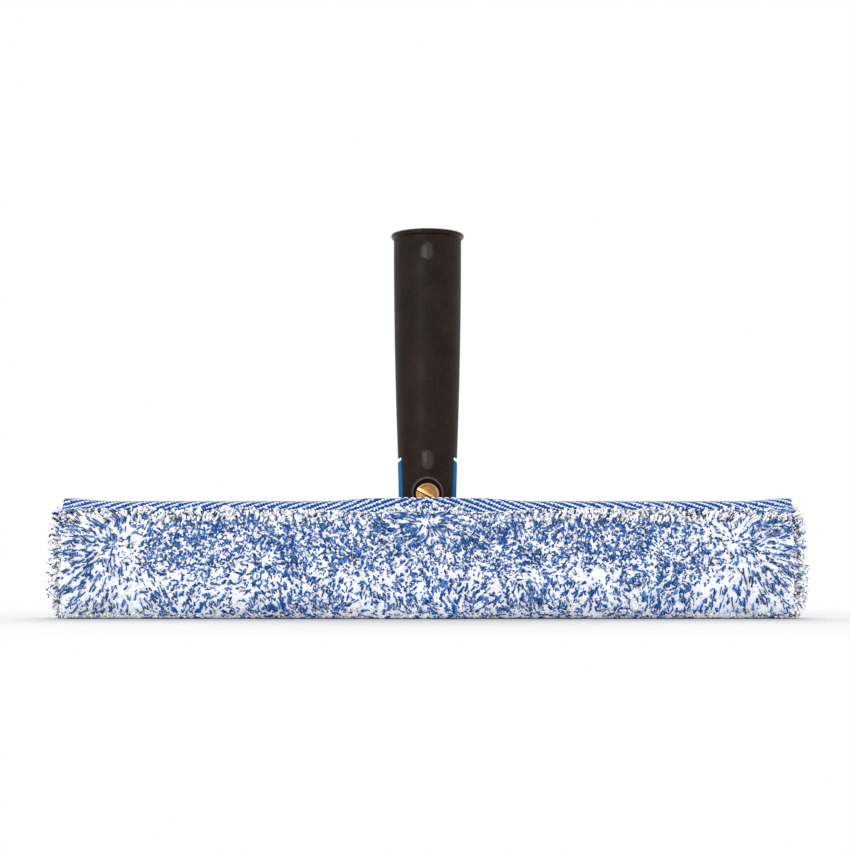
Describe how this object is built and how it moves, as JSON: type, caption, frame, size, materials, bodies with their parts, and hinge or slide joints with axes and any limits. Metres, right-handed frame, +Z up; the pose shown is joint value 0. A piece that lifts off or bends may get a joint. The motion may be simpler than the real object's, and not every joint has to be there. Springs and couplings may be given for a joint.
{
  "type": "window washer",
  "caption": "Window washer: T-bar in a microfibre pile sleeve, with a handle that swivels sideways on a slotted screw and takes a pole in its socket.",
  "frame": {"origin": "under the middle of the sleeve, on the surface that the washer stands on", "axes": "+X along the sleeve to the right seen from the front, +Y away from the side that shows the screw's head, +Z up the handle"},
  "size_m": [0.361, 0.0416, 0.1854],
  "materials": {
    "bar_plastic": "blue moulded polypropylene, satin",
    "handle_plastic": "black moulded polypropylene, fine matt grain",
    "brass": "turned brass",
    "washer_steel": "zinc plated",
    "washer_plastic": "black nylon",
    "disc_plastic": "natural nylon",
    "pile": "twisted microfibre tufts, white with blue ones among them",
    "woven_band": "twill band with slanted blue and white stripes",
    "loop_tape": "soft loop tape",
    "hook_tape": "woven hook tape"
  },
  "bodies": {
    "washer_head": {"t_bar": "bar_plastic", "pivot_bush": "brass", "sleeve_pile": "pile", "sleeve_end_left": "pile", "sleeve_end_right": "pile", "band_front": "woven_band", "band_back": "woven_band", "loop_tape_left": "loop_tape", "loop_tape_right": "loop_tape", "hook_tape_left": "hook_tape", "hook_tape_right": "hook_tape"},
    "swivel_handle": {"handle": "handle_plastic", "head_washer": "washer_plastic", "friction_disc_front": "disc_plastic", "friction_disc_rear": "disc_plastic", "spring_washer": "washer_steel", "swivel_nut": "brass"},
    "tension_screw": {"swivel_screw": "brass"}
  },
  "joints": [
    {"name": "handle_swivel", "type": "hinge", "parent": "washer_head", "child": "swivel_handle", "pos_m": [0, 0, 0.0586], "axis": [0, 1, 0], "range_deg": [-55, 55]},
    {"name": "screw_turn", "type": "hinge", "parent": "swivel_handle", "child": "tension_screw", "pos_m": [0, -0.0104, 0.0586], "axis": [0, -1, 0], "range_deg": [0, 90]}
  ]
}
